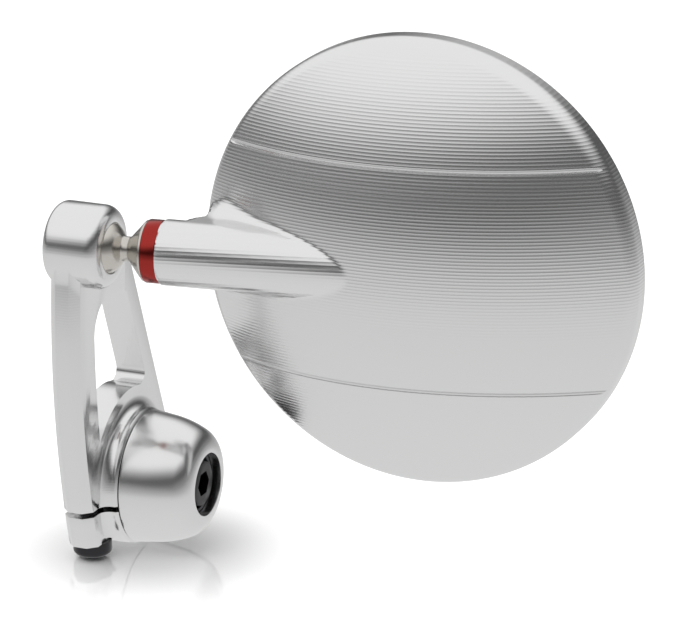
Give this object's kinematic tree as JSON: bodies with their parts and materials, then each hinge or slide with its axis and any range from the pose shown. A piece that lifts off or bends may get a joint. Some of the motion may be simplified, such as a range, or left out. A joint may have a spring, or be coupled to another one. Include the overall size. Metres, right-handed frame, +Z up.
{
  "type": "motorcycle bar end mirror",
  "caption": "Round mirror head on a ball joint, carried by a forked arm that clamps a domed bar end.",
  "frame": {"origin": "on the axis of the handlebar and of the screw, at the face of the bar end that abuts the handlebar", "axes": "+X outboard along the handlebar's axis, +Y towards the rider (the glass faces +Y), +Z up"},
  "size_m": [0.131, 0.0475, 0.1216],
  "materials": {
    "satin_aluminium": "fine machined, clear anodised",
    "black_steel": "black oxide",
    "black_washer": "turned, blackened",
    "plug_steel": "dark oxide",
    "spring_steel": "plain",
    "cup_plastic": "moulded acetal",
    "stud_steel": "turned, nickel plated",
    "red_anodised": "satin red anodised",
    "foam": "closed-cell foam",
    "mirror": "silvered convex glass"
  },
  "bodies": {
    "bar_end": {"bar_end_dome": "satin_aluminium", "bar_end_screw": "black_steel", "cup_washer": "black_washer"},
    "clamped_arm": {"arm": "satin_aluminium", "pinch_screw": "black_steel", "adjuster_plug": "plug_steel", "outer_disc_spring": "spring_steel", "inner_disc_spring": "spring_steel"},
    "cup": {"thrust_cup": "cup_plastic"},
    "stud": {"ball_stud": "stud_steel"},
    "head": {"accent_ring": "red_anodised", "mirror_housing": "satin_aluminium", "glass_pad": "foam", "mirror_glass": "mirror"}
  },
  "joints": [
    {"name": "arm_swing", "type": "hinge", "parent": "bar_end", "child": "clamped_arm", "pos_m": [0.004, 0, 0], "axis": [1, 0, 0], "continuous": true},
    {"name": "seat_turn", "type": "hinge", "parent": "clamped_arm", "child": "cup", "pos_m": [0.0085, -0.0172, 0.0574], "axis": [1, 0, 0], "continuous": true},
    {"name": "head_tilt", "type": "hinge", "parent": "cup", "child": "stud", "pos_m": [0.0085, -0.0172, 0.0574], "axis": [0, 0, 1], "range_deg": [-29, 14.5]},
    {"name": "head_spin", "type": "hinge", "parent": "stud", "child": "head", "pos_m": [0.0085, -0.0172, 0.0574], "axis": [0.9923, 0.1236, 0], "continuous": true}
  ]
}
